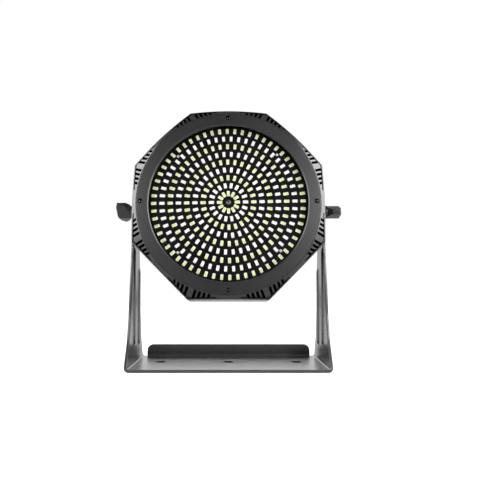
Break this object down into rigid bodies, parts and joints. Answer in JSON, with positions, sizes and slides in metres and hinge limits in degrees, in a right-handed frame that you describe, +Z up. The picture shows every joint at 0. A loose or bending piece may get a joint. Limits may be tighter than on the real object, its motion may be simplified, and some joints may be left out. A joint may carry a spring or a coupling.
{
  "type": "led par can",
  "caption": "Flat octagonal stage lamp head with a ring-framed LED face and corner vents, tilting on wing knobs in a bent sheet-metal floor stand.",
  "frame": {"origin": "on the underside of the base plate, straight under the tilt axis, midway between the arms", "axes": "+X to the right as seen from the front, -Y the way the lamp shines, +Z up"},
  "size_m": [0.2312, 0.1223, 0.2521],
  "materials": {
    "housing": "fine satin, slightly glossy black",
    "bezel": "satin black",
    "stand_paint": "satin black powder coat on sheet steel",
    "knob": "satin black moulding",
    "screw_steel": "blackened and plain steel",
    "window": "clear polished sheet",
    "rubber": "matt black",
    "circuit_black": "matt black solder mask",
    "circuit_green": "satin green solder mask",
    "aluminium": "bare, fine milled",
    "brass": "turned",
    "socket": "satin black",
    "display": "polished dark red window",
    "sheath": "soft satin"
  },
  "bodies": {
    "stand": {"stand_bracket": "stand_paint"},
    "head": {"bezel_screw_bottom": "screw_steel", "bezel_screw_left": "screw_steel", "bezel_screw_right": "screw_steel", "bezel_screw_top": "screw_steel", "board_screw_1": "screw_steel", "board_screw_2": "screw_steel", "board_screw_3": "screw_steel", "board_screw_4": "screw_steel", "centre_screw": "screw_steel", "centre_washer": "circuit_black", "control_board": "circuit_green", "display_window": "display", "dmx_input": "socket", "dmx_output": "socket", "driver_board": "circuit_green", "driver_screw_1": "screw_steel", "driver_screw_2": "screw_steel", "driver_screw_3": "screw_steel", "driver_screw_4": "screw_steel", "fan_frame": "socket", "fan_screw_lower": "screw_steel", "fan_screw_upper": "screw_steel", "friction_washer_left": "rubber", "friction_washer_right": "rubber", "front_bezel": "bezel", "front_shell": "housing", "front_window": "window", "heat_spreader": "aluminium", "led_board": "circuit_black", "led_lead": "sheath", "mains_lead": "sheath", "pivot_insert_left": "brass", "pivot_insert_right": "brass", "power_inlet": "socket", "rear_screw_1": "screw_steel", "rear_screw_2": "screw_steel", "rear_screw_3": "screw_steel", "rear_screw_4": "screw_steel", "rear_shell": "housing", "spreader_screw_1": "screw_steel", "spreader_screw_2": "screw_steel", "spreader_screw_3": "screw_steel", "spreader_screw_4": "screw_steel", "window_gasket": "rubber"},
    "washer_left": {"outer_washer_left": "screw_steel"},
    "washer_right": {"outer_washer_right": "screw_steel"},
    "knob_left": {"knob_left": "knob", "knob_stud_left": "screw_steel"},
    "knob_right": {"knob_right": "knob", "knob_stud_right": "screw_steel"},
    "button_menu": {"button_menu": "rubber"},
    "button_down": {"button_down": "rubber"},
    "button_up": {"button_up": "rubber"},
    "button_enter": {"button_enter": "rubber"},
    "fan_rotor": {"fan_rotor": "socket"}
  },
  "joints": [
    {"name": "head_tilt", "type": "hinge", "parent": "stand", "child": "head", "pos_m": [0, 0, 0.1557], "axis": [-1, 0, 0], "range_deg": [-95, 175]},
    {"name": "knob_left_travel", "type": "slide", "parent": "head", "child": "washer_left", "axis": [-1, 0, 0], "range_m": [0, 0.003]},
    {"name": "knob_left_turn", "type": "hinge", "parent": "washer_left", "child": "knob_left", "pos_m": [-0.1, 0, 0.1557], "axis": [-1, 0, 0], "range_deg": [0, 1081]},
    {"name": "knob_right_travel", "type": "slide", "parent": "head", "child": "washer_right", "axis": [1, 0, 0], "range_m": [0, 0.003]},
    {"name": "knob_right_turn", "type": "hinge", "parent": "washer_right", "child": "knob_right", "pos_m": [0.1, 0, 0.1557], "axis": [1, 0, 0], "range_deg": [0, 1081]},
    {"name": "button_menu_press", "type": "slide", "parent": "head", "child": "button_menu", "axis": [0, -0.9963, 0.0854], "range_m": [0, 0.0008], "stiffness_N_per_m": 400},
    {"name": "button_down_press", "type": "slide", "parent": "head", "child": "button_down", "axis": [0, -0.9963, 0.0854], "range_m": [0, 0.0008], "stiffness_N_per_m": 400},
    {"name": "button_up_press", "type": "slide", "parent": "head", "child": "button_up", "axis": [0, -0.9963, 0.0854], "range_m": [0, 0.0008], "stiffness_N_per_m": 400},
    {"name": "button_enter_press", "type": "slide", "parent": "head", "child": "button_enter", "axis": [0, -0.9963, 0.0854], "range_m": [0, 0.0008], "stiffness_N_per_m": 400},
    {"name": "fan_spin", "type": "hinge", "parent": "head", "child": "fan_rotor", "pos_m": [0, 0.02101, 0.19003], "axis": [0, 0.9963, -0.0854], "continuous": true}
  ],
  "couplings": [
    {"joint": "knob_left_turn", "follows": "knob_left_travel", "rad_per_m": 6283.2},
    {"joint": "knob_right_turn", "follows": "knob_right_travel", "rad_per_m": 6283.2}
  ]
}
